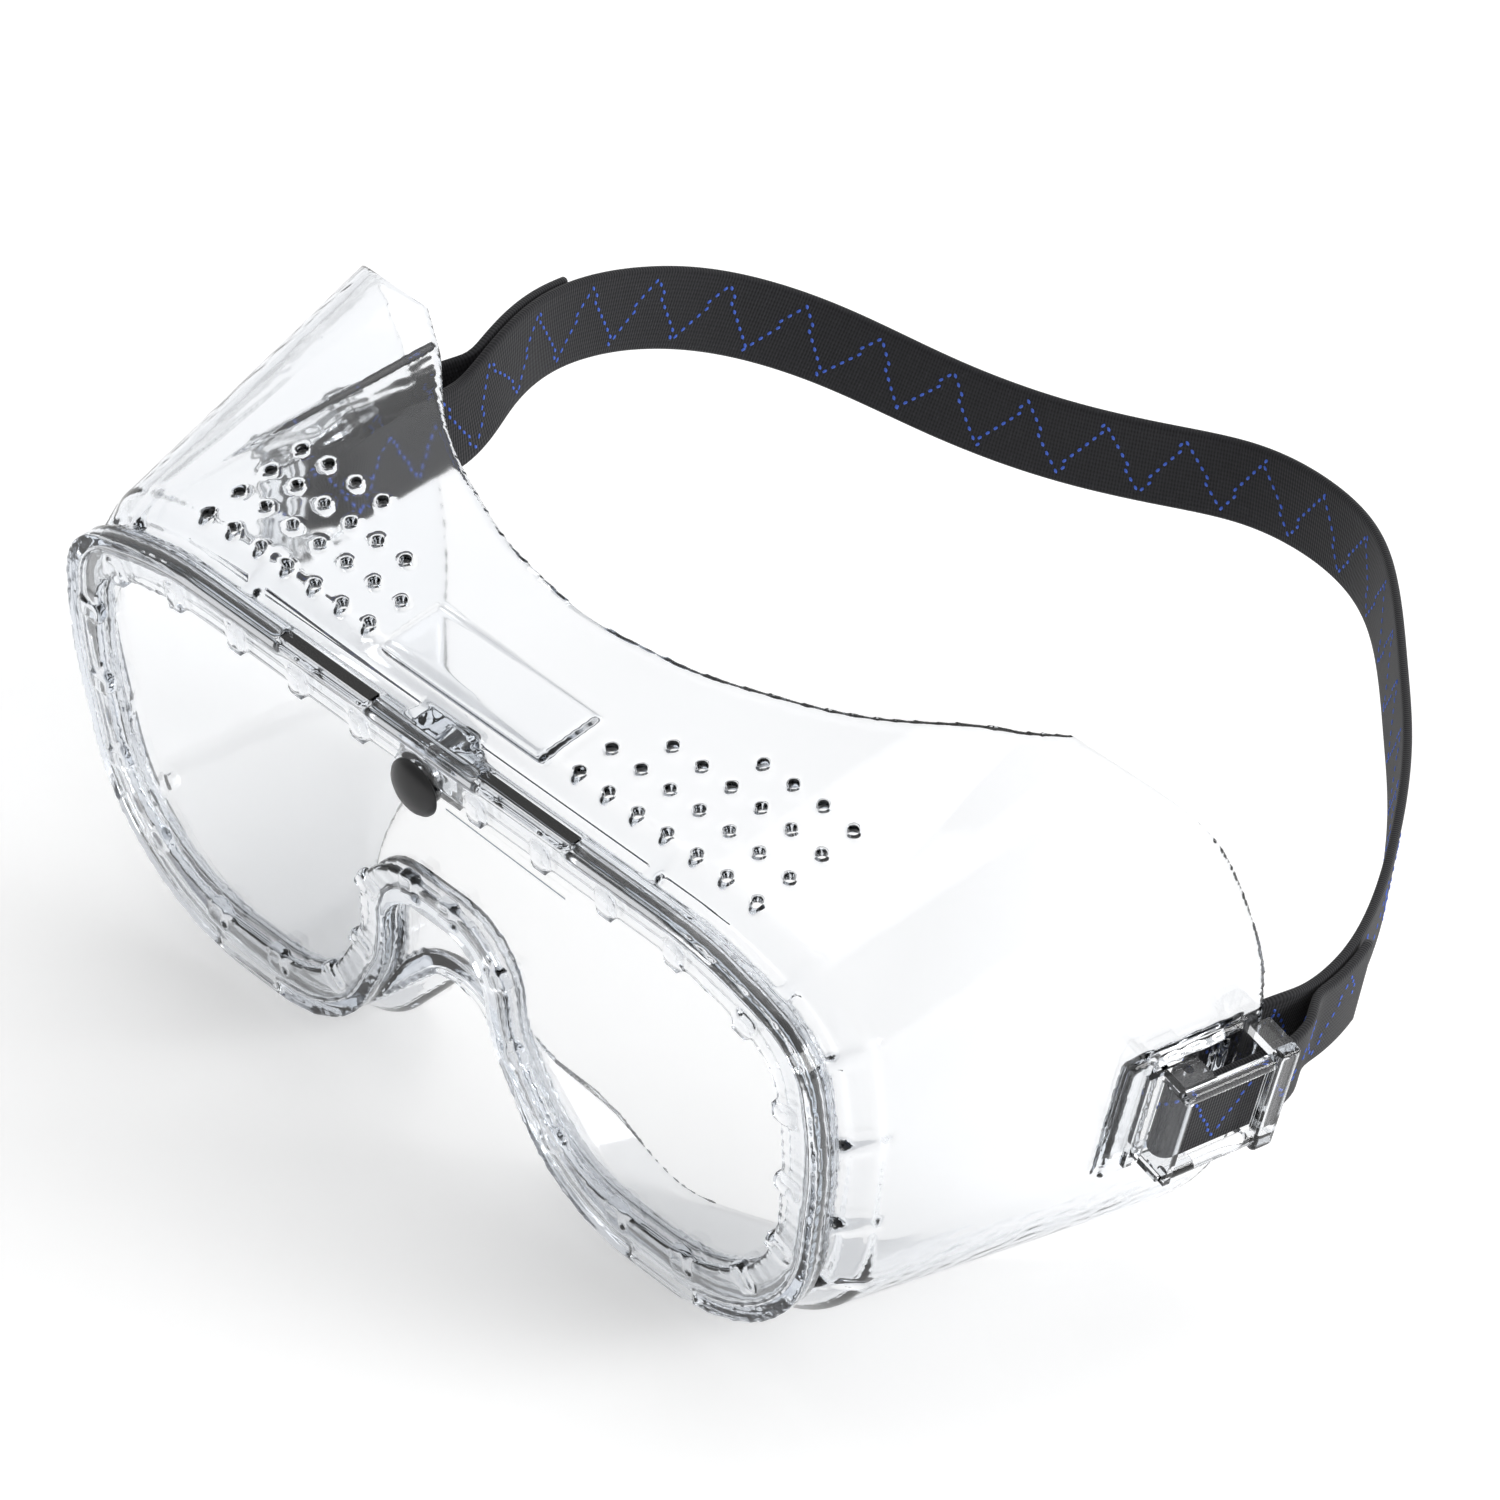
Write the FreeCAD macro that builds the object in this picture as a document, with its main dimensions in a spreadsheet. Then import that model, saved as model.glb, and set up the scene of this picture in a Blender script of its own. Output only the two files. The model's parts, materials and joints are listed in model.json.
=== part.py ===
"""Wide-vision safety goggles: soft clear frame, flat lens, press stud, two strap buckles, elastic headband.

The goggles are drawn in the lens frame first: X to the wearer's left, Y from the lens towards the face
and Z up the lens, with the front lip in the plane Y = 0 and its top edge at Z = 0. Every piece is then
leaned by rest_tilt, so that the whole stands on the bottom of the rim and of the skirt.
"""
import FreeCAD, Part
import math
import os
import Sketcher
from FreeCAD import Vector, Rotation, Placement

os.makedirs("parts", exist_ok=True)
doc = FreeCAD.newDocument("safety_goggles")

# ---------------------------------------------------------------- driving dimensions, mm and degrees
DIMENSIONS = [
    # front outline of the rim and of the lens opening
    ("rim_half_width", 81.4), ("rim_height", 74.4), ("nose_arch_top", 34.2), ("nose_arch_half", 10.6),
    ("skirt_notch_top", 46.0),
    ("lip_top", 6.4), ("lip_side", 7.4), ("lip_bottom", 9.4), ("lip_nose", 5.7),
    # rim section, front to back
    ("lip_thickness", 1.5), ("lens_thickness", 2.0), ("lens_gap", 0.15), ("flange_thickness", 1.5),
    ("rim_wall", 2.2), ("neck_length", 1.8), ("neck_depth", 2.0),
    # skirt
    ("wall", 2.0), ("shoulder_length", 4.2), ("shoulder_rise", 2.0), ("chin_drop", 3.2), ("skirt_reach", 80.0),
    ("flare_side", 9.0), ("flare_top", 5.6), ("flare_bottom", 23.0), ("right_splay", 4.0),
    ("brow_depth", 33.0), ("temple_depth", 78.5), ("bridge_depth", 11.0),
    # vents in the top wall
    ("vent_diameter", 1.8), ("vent_pitch", 6.0), ("vent_start", 22.4), ("vent_front", 11.2),
    # lip ribs and gussets
    ("rib_width", 3.0), ("rib_pitch", 13.2), ("rib_proud", 0.6), ("rib_overhang", 0.9),
    ("gusset_width", 2.0),
    # press stud
    ("stud_height", 7.0), ("stud_head", 9.4), ("stud_head_thickness", 1.7), ("stud_shank", 4.0),
    ("stud_clearance", 0.05), ("collar_diameter", 8.2), ("stud_tail", 5.2),
    # strap and buckles
    ("strap_width", 15.0), ("strap_thickness", 1.5),
    ("buckle_forward", 56.8), ("buckle_height", -52.3), ("buckle_length", 22.0), ("buckle_droop", -3.0),
    ("right_forward", 45.5), ("right_height", -36.5),
    ("buckle_rail", 2.4), ("buckle_plate", 1.2), ("buckle_pin", 1.6),
    # attitude on the table
    ("rest_tilt", 12.0),
]
sheet = doc.addObject("Spreadsheet::Sheet", "sizes")
for row, (alias, value) in enumerate(DIMENSIONS, start=1):
    sheet.set(f"A{row}", alias)
    sheet.set(f"B{row}", str(value))
    sheet.setAlias(f"B{row}", alias)
doc.recompute()
S = {alias: float(sheet.get(alias)) for alias, _ in DIMENSIONS}

channel_front = S["lip_thickness"]
channel_back = channel_front + S["lens_thickness"] + S["lens_gap"]
flange_back = channel_back + S["flange_thickness"]
neck_back = flange_back + S["neck_length"]
shoulder_back = neck_back + S["shoulder_length"]


# ---------------------------------------------------------------- rounded outlines in the lens plane
def mirrored(half):
    """Closed outline from its +X half, given clockwise from the top; a point on X = 0 is shared."""
    other = [(-x, z, r) for x, z, r in reversed(half) if x > 0.01]
    return half + other


def turn(a, b, c):
    """Signed angle turned at b on the way a, b, c; negative is clockwise, the way the outlines run."""
    first = math.atan2(b[1] - a[1], b[0] - a[0])
    second = math.atan2(c[1] - b[1], c[0] - b[0])
    return (second - first + math.pi) % (2 * math.pi) - math.pi


def neighbours(corners, i):
    return corners[i - 1], corners[i], corners[(i + 1) % len(corners)]


def fitted(corners):
    """Takes each radius down to what the runs beside its corner can hold."""
    count = len(corners)
    reach = []
    for i in range(count):
        a, b, c = neighbours(corners, i)
        reach.append(b[2] * abs(math.tan(turn(a, b, c) / 2)))
    share = [1.0] * count
    for i in range(count):
        j = (i + 1) % count
        run = math.dist(corners[i][:2], corners[j][:2])
        part = min(1.0, 0.94 * run / max(reach[i] + reach[j], 1e-6))
        share[i] = min(share[i], part)
        share[j] = min(share[j], part)
    return [(x, z, r * share[i]) for i, (x, z, r) in enumerate(corners)]


def offset(corners, grow):
    """Moves every side of the outline outwards by grow, keeping the same corners in the same order."""
    corners = fitted(corners)
    count = len(corners)
    lines = []
    for i in range(count):
        a, b = corners[i], corners[(i + 1) % count]
        along = math.atan2(b[1] - a[1], b[0] - a[0])
        out_x, out_z = -math.sin(along), math.cos(along)
        lines.append((a[0] + out_x * grow, a[1] + out_z * grow, math.cos(along), math.sin(along)))
    moved = []
    for i in range(count):
        px, pz, pu, pv = lines[i - 1]
        qx, qz, qu, qv = lines[i]
        across = pu * qv - pv * qu
        step = ((qx - px) * qv - (qz - pz) * qu) / across
        a, b, c = neighbours(corners, i)
        bend = -1 if turn(a, b, c) > 0 else 1
        moved.append((px + pu * step, pz + pv * step, max(b[2] + bend * grow, 0.3)))
    return moved


def segments(corners):
    """Arc and straight run for each corner: (corner point, start, end, centre, radius, turn, next start)."""
    corners = fitted(corners)
    found = []
    for i in range(len(corners)):
        a, b, c = neighbours(corners, i)
        bend = turn(a, b, c)
        reach = b[2] * abs(math.tan(bend / 2))
        back = math.atan2(a[1] - b[1], a[0] - b[0])
        ahead = math.atan2(c[1] - b[1], c[0] - b[0])
        start = (b[0] + reach * math.cos(back), b[1] + reach * math.sin(back))
        end = (b[0] + reach * math.cos(ahead), b[1] + reach * math.sin(ahead))
        middle = math.atan2(math.sin(back) + math.sin(ahead), math.cos(back) + math.cos(ahead))
        away = b[2] / math.cos(bend / 2)
        centre = (b[0] + away * math.cos(middle), b[1] + away * math.sin(middle))
        found.append((start, end, centre, b[2], bend))
    return found


def outline_wire(corners, y):
    edges = []
    found = segments(corners)
    for i, (start, end, centre, radius, bend) in enumerate(found):
        inward = math.atan2(start[1] - centre[1], start[0] - centre[0]) + bend / 2
        top = (centre[0] + radius * math.cos(inward), centre[1] + radius * math.sin(inward))
        edges.append(Part.Arc(Vector(start[0], y, start[1]), Vector(top[0], y, top[1]),
                              Vector(end[0], y, end[1])).toShape())
        following = found[(i + 1) % len(found)][0]
        edges.append(Part.makeLine(Vector(end[0], y, end[1]), Vector(following[0], y, following[1])))
    return Part.Wire(edges)


def stations(corners, first, pitch):
    """Points at an even pitch along the +X half of an outline, from the middle of its top to the nose.

    Each comes with its outward direction in the X-Z plane."""
    wire = outline_wire(corners, 0)
    points = [p for p in wire.discretize(Distance=0.5)]
    top = max(range(len(points)), key=lambda i: points[i].z - abs(points[i].x) * 0.01)
    points = points[top:] + points[:top]
    if points[5].x < points[0].x:
        points.reverse()
    half = []
    for point in points:
        if point.x < -0.3 and len(half) > 20:
            break
        half.append(point)
    length = sum((b - a).Length for a, b in zip(half, half[1:]))
    count = round((length - first - 4.0) / pitch)
    even = (length - first - 4.0) / count
    wanted = [first + even * k for k in range(count + 1)]
    found = []
    travelled = 0.0
    for a, b in zip(half, half[1:]):
        step = (b - a).Length
        if wanted and travelled + step >= wanted[0]:
            along = (b - a).normalize()
            found.append((a, Vector(-along.z, 0, along.x)))
            wanted.pop(0)
        travelled += step
    return found


# ---------------------------------------------------------------- document helpers
def bound(obj, **links):
    for prop, expression in links.items():
        obj.setExpression(prop.replace("__", "."), expression)
    return obj


def shape_object(name, shape):
    obj = doc.addObject("Part::Feature", name)
    obj.Shape = shape
    return obj


def extruded(name, wire, direction, length, both_ways=False):
    base = shape_object(name + "_outline", wire)
    obj = doc.addObject("Part::Extrusion", name)
    obj.Base = base
    obj.DirMode = "Custom"
    obj.Dir = direction
    obj.Solid = True
    obj.Symmetric = both_ways
    obj.setExpression("LengthFwd", length)
    return obj


def slab(name, corners, y, length):
    return extruded(name, outline_wire(corners, y), Vector(0, 1, 0), length)


def lofted(name, sections, ruled=True):
    obj = doc.addObject("Part::Loft", name)
    obj.Sections = [shape_object(f"{name}_section", wire) for wire in sections]
    obj.Solid = True
    obj.Ruled = ruled
    return obj


def fused(name, parts):
    obj = doc.addObject("Part::MultiFuse", name)
    obj.Shapes = parts
    return obj


def cut(name, base, tool):
    obj = doc.addObject("Part::Cut", name)
    obj.Base = base
    obj.Tool = tool
    return obj


def box(name, placement, length, width, height):
    """A block centred on its placement; the sizes are expressions."""
    obj = doc.addObject("Part::Box", name)
    bound(obj, Length=length, Width=width, Height=height)
    doc.recompute([obj])
    half = Vector(-obj.Length.Value / 2, -obj.Width.Value / 2, -obj.Height.Value / 2)
    obj.Placement = placement.multiply(Placement(half, Rotation()))
    return obj


def rod(name, placement, diameter, height):
    """A round bar along its placement's Z axis, starting there."""
    obj = doc.addObject("Part::Cylinder", name)
    bound(obj, Radius=f"({diameter}) / 2", Height=height)
    obj.Placement = placement
    return obj


ALONG_Y = Rotation(Vector(1, 0, 0), -90)

# ---------------------------------------------------------------- outlines of the rim and of the skirt
W = S["rim_half_width"]
H = S["rim_height"]
arch_x = S["nose_arch_half"]
arch_z = -S["nose_arch_top"]
rim_sides = [(0.725 * W, 0, 60), (W - 1.8, -0.1 * H, 14), (W, -0.376 * H, 60), (W - 7.6, -H, 32)]
rim_outline = mirrored(rim_sides + [(arch_x + 13.7, -H, 24), (arch_x + 0.3, arch_z - 15.3, 30),
                                    (arch_x, arch_z, 9.5)])
window = mirrored([
    (0.7 * W, -S["lip_top"], 60), (W - 1.4 - S["lip_side"], -6.1 - S["lip_top"], 11),
    (W - S["lip_side"], -0.376 * H, 60), (W - 4.7 - S["lip_side"], S["lip_bottom"] - H, 26),
    (arch_x + 16.9, S["lip_bottom"] - H, 18), (arch_x + S["lip_nose"], arch_z - 12, 20),
    (arch_x + S["lip_nose"], arch_z + S["lip_nose"], 14)])
skirt_outline = mirrored(rim_sides + [(arch_x + 16.4, -H, 20), (0, -S["skirt_notch_top"], 8)])
# behind the neck the skirt steps out all round, and further down under the cheeks
shoulder_outline = [(x, z - S["chin_drop"] * (z < -0.8 * H), r)
                    for x, z, r in offset(skirt_outline, S["shoulder_rise"])]
shoulder_inside = [(x, z - S["chin_drop"] * (z < -0.8 * H), r)
                   for x, z, r in offset(skirt_outline, S["shoulder_rise"] - S["wall"])]
rear_half = [
    (0.66 * W, S["shoulder_rise"] + S["flare_top"], 60),
    (W + S["flare_side"], S["shoulder_rise"] + S["flare_top"] + 4.5, 18),
    (W + S["flare_side"] + 1.5, -0.43 * H, 60),
    (W + 1.2, -H - S["flare_bottom"], 27), (arch_x + 19.4, -H - S["flare_bottom"], 20),
    (0, -S["skirt_notch_top"] + 3.0, 8)]
# the soft skirt stands splayed a little wider on the wearer's right
rear_outline = [(x - S["right_splay"] * (x < -0.9 * W), z, r) for x, z, r in mirrored(rear_half)]

# ---------------------------------------------------------------- frame: rim
lip = slab("lip", rim_outline, 0, "sizes.lip_thickness")
channel = slab("channel", rim_outline, channel_front, "sizes.lens_thickness + sizes.lens_gap")
channel_room = slab("channel_room", offset(rim_outline, -S["rim_wall"]), channel_front,
                    "sizes.lens_thickness + sizes.lens_gap")
channel_ring = cut("channel_ring", channel, channel_room)
flange = slab("flange", offset(skirt_outline, -0.7), channel_back, "sizes.flange_thickness")
front_window = slab("front_window", window, 0, "sizes.lip_thickness")
lip_ring = cut("lip_ring", lip, front_window)
back_window = slab("back_window", window, channel_back, "sizes.flange_thickness")
flange_ring = cut("flange_ring", flange, back_window)

# ---------------------------------------------------------------- frame: neck and skirt
neck_inset = S["neck_depth"] + S["wall"]
neck = slab("neck", offset(skirt_outline, -S["neck_depth"]), flange_back, "sizes.neck_length")
neck_room = slab("neck_room", offset(skirt_outline, -neck_inset), flange_back, "sizes.neck_length")
neck_ring = cut("neck_ring", neck, neck_room)
skirt_outside = lofted("skirt_outside", [
    outline_wire(offset(skirt_outline, -0.3), neck_back),
    outline_wire(shoulder_outline, shoulder_back),
    outline_wire(rear_outline, S["skirt_reach"] + 6)])
skirt_inside = lofted("skirt_inside", [
    outline_wire(offset(skirt_outline, -neck_inset), neck_back),
    outline_wire(shoulder_inside, shoulder_back),
    outline_wire(offset(rear_outline, -S["wall"]), S["skirt_reach"] + 6)])
skirt_shell = cut("skirt_shell", skirt_outside, skirt_inside)

# the edge that meets the face: a brow line seen from above, a cheek line seen from below, a temple
# line seen from the side
brow = S["brow_depth"]
deep = S["temple_depth"]
brow_line = [(0, 0), (10, 1), (20, 2.7), (30, 6), (40, 10), (50, 16), (60, 24.0), (70, 30.0), (80, 39.0),
             (90, 50), (100, 76)]
brow_line = [(x * W / 82.0, brow + y) for x, y in brow_line]
bridge = S["bridge_depth"]
cheek_line = [(0, 0), (6, 0.2), (11, 1.4), (15, 4), (20, 7.2), (31, 9.5), (38, 12.5), (46, 16.5), (60, 27.5),
              (68, 39), (74, 52), (79, 65), (84, 79), (90, 98)]
cheek_line = [(x * W / 82.0, bridge + y) for x, y in cheek_line]
temple_line = [(30, -50), (20, -32), (9.3, -20.5), (0, -12.5), (-20, -4), (-40, 0), (-50, 0.5), (-68, -1.5),
               (-78, -5.5), (-90, -18.5), (-100, -38), (-110, -62)]
temple_line = [(z, deep + y) for z, y in temple_line]
SPLIT = -42.0


def spline_through(points):
    curve = Part.BSplineCurve()
    curve.interpolate(points)
    return curve.toShape()


def behind_plan(line, z):
    """Region behind a curve drawn in plan, at height z."""
    points = [Vector(-x, y, z) for x, y in reversed(line[1:])] + [Vector(x, y, z) for x, y in line]
    far = 260.0
    edge = spline_through(points)
    rim = Part.makePolygon([points[-1], Vector(points[-1].x + 60, points[-1].y, z),
                            Vector(points[-1].x + 60, far, z), Vector(points[0].x - 60, far, z),
                            Vector(points[0].x - 60, points[0].y, z), points[0]])
    return Part.Wire([edge] + rim.Edges)


brow_cutter = extruded("brow_cutter", behind_plan(brow_line, SPLIT), Vector(0, 0, 1), "100")
cheek_cutter = extruded("cheek_cutter", behind_plan(cheek_line, SPLIT), Vector(0, 0, -1), "120")
side_points = [Vector(-150, y, z) for z, y in temple_line]
side_edge = spline_through(side_points)
side_rim = Part.makePolygon([side_points[-1], Vector(-150, 260, side_points[-1].z),
                             Vector(-150, 260, side_points[0].z), side_points[0]])
temple_cutter = extruded("temple_cutter", Part.Wire([side_edge] + side_rim.Edges), Vector(1, 0, 0),
                         "300")
skirt_a = cut("skirt_a", skirt_shell, brow_cutter)
skirt_b = cut("skirt_b", skirt_a, cheek_cutter)
skirt = cut("skirt", skirt_b, temple_cutter)
doc.recompute()

# ---------------------------------------------------------------- frame: ribs on the lip, gussets behind it
ribs = []
for k, (point, out) in enumerate(stations(window, 12.8, S["rib_pitch"])):
    if point.x < 6 and point.z > -20:
        continue
    for side in (1, -1):
        middle = Vector(side * (point.x + out.x * 1.3), 0, point.z + out.z * 1.3)
        angle = math.degrees(math.atan2(side * out.x, out.z))
        place = Placement(Vector(middle.x, (S["lip_thickness"] - S["rib_proud"]) / 2, middle.z),
                          Rotation(Vector(0, 1, 0), angle))
        ribs.append(box(f"rib_{k}_{'l' if side > 0 else 'r'}", place, "sizes.rib_width",
                        "sizes.lip_thickness + sizes.rib_proud", "2.6 + 2 * sizes.rib_overhang"))

gussets = []
gusset_places = [(0.52, 0), (0.86, 0), (1.02, 1), (1.22, 1), (1.42, 1), (1.62, 1)]
flange_outline = offset(skirt_outline, -0.7)
along_skirt = stations(skirt_outline, 1.0, 1.0)
for k, (share, _) in enumerate(gusset_places):
    point, out = along_skirt[min(range(len(along_skirt)),
                                 key=lambda i: abs(i - share * S["rim_half_width"]))]
    for side in (1, -1):
        base = Vector(side * point.x, 0, point.z)
        outward = Vector(side * out.x, 0, out.z)
        across = Vector(-outward.z, 0, outward.x)
        section = [base + outward * n + Vector(0, y, 0) for n, y in (
            (-3.2, flange_back - 0.4), (-1.0, flange_back - 0.4),
            (S["shoulder_rise"] + 0.55, shoulder_back + 0.6), (S["shoulder_rise"] - 1.0, shoulder_back + 2.0),
            (-1.6, neck_back + 0.4))]
        wire = Part.makePolygon([p - across * (S["gusset_width"] / 2) for p in section + section[:1]])
        gussets.append(extruded(f"gusset_{k}_{'l' if side > 0 else 'r'}", wire, across,
                                "sizes.gusset_width"))

# ---------------------------------------------------------------- frame: press-stud collar and boss
stud_z = -S["stud_height"]
collar = rod("collar", Placement(Vector(0, -0.6, stud_z), ALONG_Y), "sizes.collar_diameter",
             "sizes.lip_thickness + 0.6")
boss = box("stud_boss", Placement(Vector(0, (channel_back + neck_back + 1.0) / 2, stud_z + 1.6), Rotation()),
           "sizes.collar_diameter + 3.6", f"{neck_back + 1.0 - channel_back}",
           "sizes.collar_diameter + 3")
stud_bore = rod("stud_bore", Placement(Vector(0, -3, stud_z), ALONG_Y),
                "sizes.stud_shank + 2 * sizes.stud_clearance", "20")

# ---------------------------------------------------------------- frame: marking panel on the brow
panel = box("marking_panel", Placement(Vector(0, 14.0, S["shoulder_rise"] + 0.55),
                                       Rotation(Vector(1, 0, 0), 4.2)), "34", "11.4", "1.2")

# ---------------------------------------------------------------- where the buckles sit on the skirt sides
lean = math.radians(S["buckle_droop"] + S["rest_tilt"])


def skirt_side(side, y, z):
    """Point of the skirt's outer side surface at a depth and a height; side is 1 on the left."""
    ray = Part.makeLine(Vector(side * 40, y, z), Vector(side * 200, y, z))
    box_hit = skirt_outside.Shape.common(ray).BoundBox
    return Vector(box_hit.XMax if side > 0 else box_hit.XMin, y, z)


def buckle_frame(side, y, z):
    """Origin on the skirt at the slot's front, and the ways back, up and out there."""
    origin = skirt_side(side, y, z)
    run = S["buckle_length"]
    rear = skirt_side(side, y + run * math.cos(lean), z - run * math.sin(lean))
    upper = skirt_side(side, y + 8 * math.sin(lean), z + 8 * math.cos(lean))
    lower = skirt_side(side, y - 8 * math.sin(lean), z - 8 * math.cos(lean))
    back = (rear - origin).normalize()
    out = back.cross(upper - lower).normalize()
    if out.x * side < 0:
        out = out * -1
    up = out.cross(back).normalize() * side
    return origin, back, up, out


BUCKLE_AT = {1: buckle_frame(1, S["buckle_forward"], S["buckle_height"]),
             -1: buckle_frame(-1, S["right_forward"], S["right_height"])}
SEAT = 0.8


def on_buckle(side, back, up, out):
    """Point at a buckle: back along the skirt from the slot's front, up across the strap, outwards."""
    origin, back_way, up_way, out_way = BUCKLE_AT[side]
    return origin + back_way * back + up_way * up + out_way * out


def buckle_box(side, name, back, up, out, length, height, depth):
    _, back_way, up_way, out_way = BUCKLE_AT[side]
    turned = Rotation(back_way, up_way * side, out_way, "XZY")
    place = Placement(on_buckle(side, back, up, out), turned)
    return box(f"{name}_{'left' if side > 0 else 'right'}", place, length, height, depth)


seat_depth = f"sizes.wall + {SEAT} + 0.5"
seat_mid = (SEAT - S["wall"] - 0.5) / 2
seats = []
slots = []
for side in (1, -1):
    seats.append(buckle_box(side, "buckle_seat", 6.4, 0, seat_mid, "21", "sizes.strap_width + 7",
                            seat_depth))
    slots.append(buckle_box(side, "buckle_slot", 7.9, 0, 0, "13.4", "sizes.strap_width + 3.4", "20"))

# ---------------------------------------------------------------- frame: vents, lug slots, one moulding
vents = []
for column in range(7):
    for row in range(4):
        if row == 3 and column < 3:
            continue
        for side in (1, -1):
            place = Placement(Vector(side * (S["vent_start"] + S["vent_pitch"] * column),
                                     S["vent_front"] + S["vent_pitch"] * row, -10), Rotation())
            vents.append(rod(f"vent_{column}_{row}_{'l' if side > 0 else 'r'}", place,
                             "sizes.vent_diameter", "24"))
lug_mid = (channel_front + channel_back) / 2
lug_rooms = []
for side in (1, -1):
    lug_rooms.append(box(f"top_slot_{side}", Placement(Vector(side * 21.3, lug_mid, 0), Rotation()),
                         "20", "sizes.lens_thickness + sizes.lens_gap", "8"))
    lug_rooms.append(box(f"bottom_slot_{side}", Placement(Vector(side * 46, lug_mid, -H), Rotation()),
                         "14", "sizes.lens_thickness + sizes.lens_gap", "8"))
frame_solid = fused("frame_solid", [lip_ring, channel_ring, flange_ring, neck_ring, skirt, collar, boss,
                                    panel] + ribs + gussets + seats)
frame_voids = fused("frame_voids", vents + lug_rooms + slots + [stud_bore])
frame = cut("frame", frame_solid, frame_voids)
doc.recompute()

# ---------------------------------------------------------------- lens
lens_outline = offset(rim_outline, -S["rim_wall"] - S["lens_gap"])
lens_plate = slab("lens_plate", lens_outline, channel_front + 0.1, "sizes.lens_thickness")
lugs = []
for side in (1, -1):
    lugs.append(box(f"top_lug_{side}", Placement(Vector(side * 21.3, channel_front + 0.1
                                                        + S["lens_thickness"] / 2, -2.4), Rotation()),
                    "19.4", "sizes.lens_thickness", "4.2"))
    lugs.append(box(f"bottom_lug_{side}", Placement(Vector(side * 46, channel_front + 0.1
                                                           + S["lens_thickness"] / 2, 2.4 - H), Rotation()),
                    "13.4", "sizes.lens_thickness", "4.2"))
lens_blank = fused("lens_blank", [lens_plate] + lugs)
lens_hole = rod("lens_hole", Placement(Vector(0, 0, stud_z), ALONG_Y), "sizes.stud_shank + 0.6", "6")
lens = cut("lens_drilled", lens_blank, lens_hole)

# ---------------------------------------------------------------- press stud
body = doc.addObject("PartDesign::Body", "stud_body")


def origin_plane(part, role):
    return next(f for f in part.Origin.OriginFeatures if f.Role == role)


profile = body.newObject("Sketcher::SketchObject", "stud_profile")
profile.AttachmentSupport = [(origin_plane(body, "XY_Plane"), "")]
profile.MapMode = "FlatFace"
head_back = -0.6
stud_points = [
    ("0", f"{head_back} - sizes.stud_head_thickness"),
    ("sizes.stud_head / 2 - 1.6", f"{head_back} - sizes.stud_head_thickness"),
    ("sizes.stud_head / 2", f"{head_back} - sizes.stud_head_thickness * 0.45"),
    ("sizes.stud_head / 2", f"{head_back}"),
    ("sizes.stud_shank / 2", f"{head_back}"),
    ("sizes.stud_shank / 2", f"{flange_back} + sizes.stud_tail - 0.9"),
    ("sizes.stud_shank / 2 - 0.6", f"{flange_back} + sizes.stud_tail - 0.6"),
    ("0", f"{flange_back} + sizes.stud_tail - 0.6")]
guess = [(0, -2.3), (3.1, -2.3), (4.7, -1.4), (4.7, -0.6), (2, -0.6), (2, 9.3), (1.4, 9.6), (0, 9.6)]
for i, (x, y) in enumerate(guess):
    nx, ny = guess[(i + 1) % len(guess)]
    profile.addGeometry(Part.LineSegment(Vector(x, y, 0), Vector(nx, ny, 0)), False)
for i in range(len(guess)):
    profile.addConstraint(Sketcher.Constraint("Coincident", i, 2, (i + 1) % len(guess), 1))
for i, (x_text, y_text) in enumerate(stud_points):
    if x_text == "0":
        profile.addConstraint(Sketcher.Constraint("PointOnObject", i, 1, -2))
    else:
        spot = profile.addConstraint(Sketcher.Constraint("DistanceX", -1, 1, i, 1, guess[i][0]))
        profile.setExpression(f"Constraints[{spot}]", x_text)
    if guess[i][1] > 0:
        spot = profile.addConstraint(Sketcher.Constraint("DistanceY", -1, 1, i, 1, guess[i][1]))
        profile.setExpression(f"Constraints[{spot}]", y_text)
    else:
        spot = profile.addConstraint(Sketcher.Constraint("DistanceY", i, 1, -1, 1, -guess[i][1]))
        profile.setExpression(f"Constraints[{spot}]", f"-({y_text})")
stud_turned = body.newObject("PartDesign::Revolution", "stud_turned")
stud_turned.Profile = profile
stud_turned.ReferenceAxis = (profile, ["V_Axis"])
stud_turned.Angle = 360
body.Tip = stud_turned
body.Placement = Placement(Vector(0, 0, stud_z), Rotation())
doc.recompute()

# ---------------------------------------------------------------- strap buckles
half_up = S["strap_width"] / 2
strap_t = S["strap_thickness"]
inner_face = -S["wall"] - 0.5
wall_back = 1.8 + S["buckle_plate"] / 2
pin_r = S["buckle_pin"] / 2
bend = pin_r + 0.1 + strap_t / 2
pin_back = wall_back + S["buckle_plate"] / 2 + 0.4 + strap_t + 0.1 + pin_r
pin_out = 2.2
outer_out = pin_out + bend
rail_up = half_up + 0.2
rail_out = outer_out + strap_t / 2 + 0.25 + S["buckle_rail"] / 2
proud = rail_out + S["buckle_rail"] / 2
foot_depth = 1.2
side_up = half_up + 0.95
wall_width = f"sizes.strap_width + {2 * (side_up - half_up) + 1.1}"
rear_back = S["buckle_length"] - 1.6
wall_depth = f"{proud - inner_face + foot_depth}"


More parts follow.
